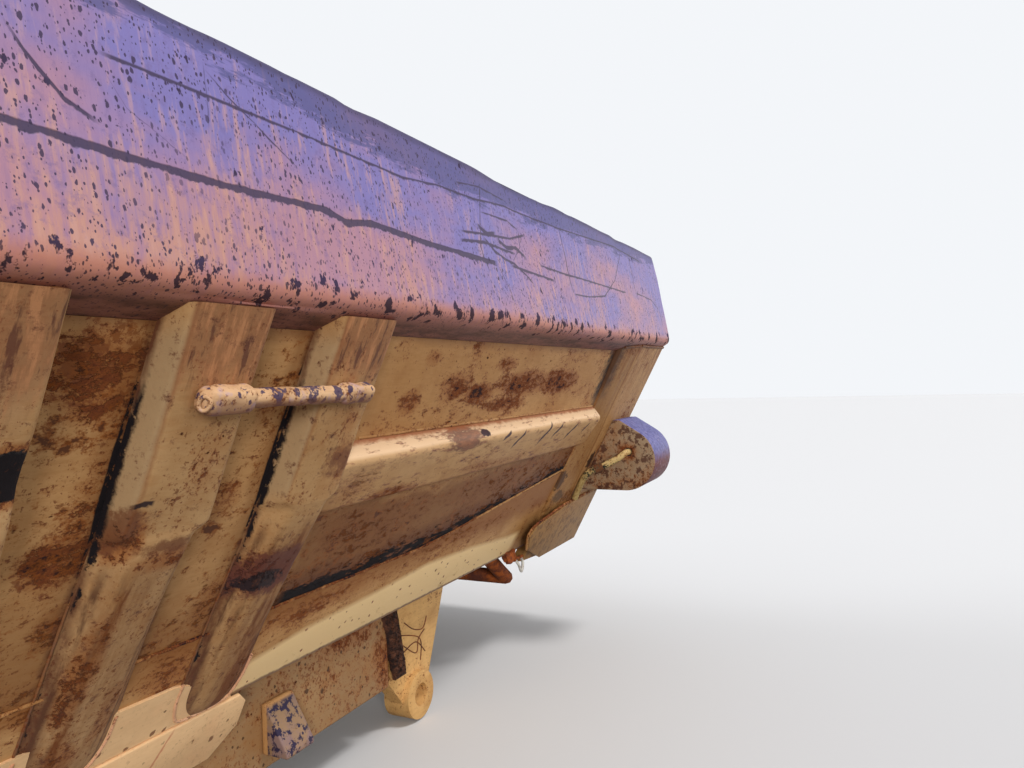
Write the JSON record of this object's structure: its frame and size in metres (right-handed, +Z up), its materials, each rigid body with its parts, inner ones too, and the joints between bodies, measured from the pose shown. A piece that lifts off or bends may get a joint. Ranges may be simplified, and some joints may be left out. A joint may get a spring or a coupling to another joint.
{
  "type": "dump body of an articulated dump truck",
  "caption": "Open steel dump body with leaning ribbed sides, tall slanted top rails, ramped open tail and beams with tipping hinge eyes.",
  "frame": {"origin": "middle of the tipping hinge's axis, half-way between the two hinge eyes under the tail", "axes": "+X forward to the cab, +Y to the left, +Z up, with the floor level"},
  "size_m": [4.7833, 2.5, 1.8597],
  "materials": {
    "paint": "faded ochre-yellow paint with rust",
    "rail_paint": "worn, scratched paint on the top rail",
    "under_paint": "dirty ochre-yellow paint on the understructure",
    "worn_plate": "rusty, load-scoured steel",
    "rusty": "bare rusted steel",
    "lamp": "red lamp lens"
  },
  "bodies": {
    "root": {"floor_plate": "worn_plate", "tail_ramp": "worn_plate", "tail_bolster": "under_paint", "tail_lip": "worn_plate", "sill_left": "paint", "sill_right": "paint", "side_wall_left": "paint", "side_wall_right": "paint", "rail_left": "rail_paint", "rail_right": "rail_paint", "rail_caps_left": "rail_paint", "rail_caps_right": "rail_paint", "rib_left_1": "paint", "rib_left_2": "paint", "rib_left_3": "paint", "rib_left_4": "paint", "rib_left_5": "paint", "rib_left_6": "paint", "rib_left_7": "paint", "rib_right_1": "paint", "rib_right_2": "paint", "rib_right_3": "paint", "rib_right_4": "paint", "rib_right_5": "paint", "rib_right_6": "paint", "rib_right_7": "paint", "waist_rib_left": "paint", "waist_rib_right": "paint", "rear_post_left": "paint", "rear_post_right": "paint", "front_post_left": "paint", "front_post_right": "paint", "post_shoe_left": "paint", "post_shoe_right": "paint", "lamp_guard_left": "paint", "lamp_guard_right": "paint", "tail_lamp_left": "lamp", "tail_lamp_right": "lamp", "conduit_left": "paint", "conduit_right": "paint", "step_left": "paint", "step_right": "paint", "skirt_left": "paint", "skirt_right": "paint", "beam_left": "under_paint", "beam_right": "under_paint", "guide_left": "under_paint", "guide_right": "under_paint", "hinge_left": "under_paint", "hinge_right": "under_paint", "hoist_lugs_left": "under_paint", "hoist_lugs_right": "under_paint", "cross_members": "under_paint", "cross_tube": "rusty", "tube_hanger_left": "rusty", "tube_hanger_right": "rusty", "headboard": "paint", "headboard_frame": "under_paint", "spill_guard": "paint"}
  },
  "joints": []
}
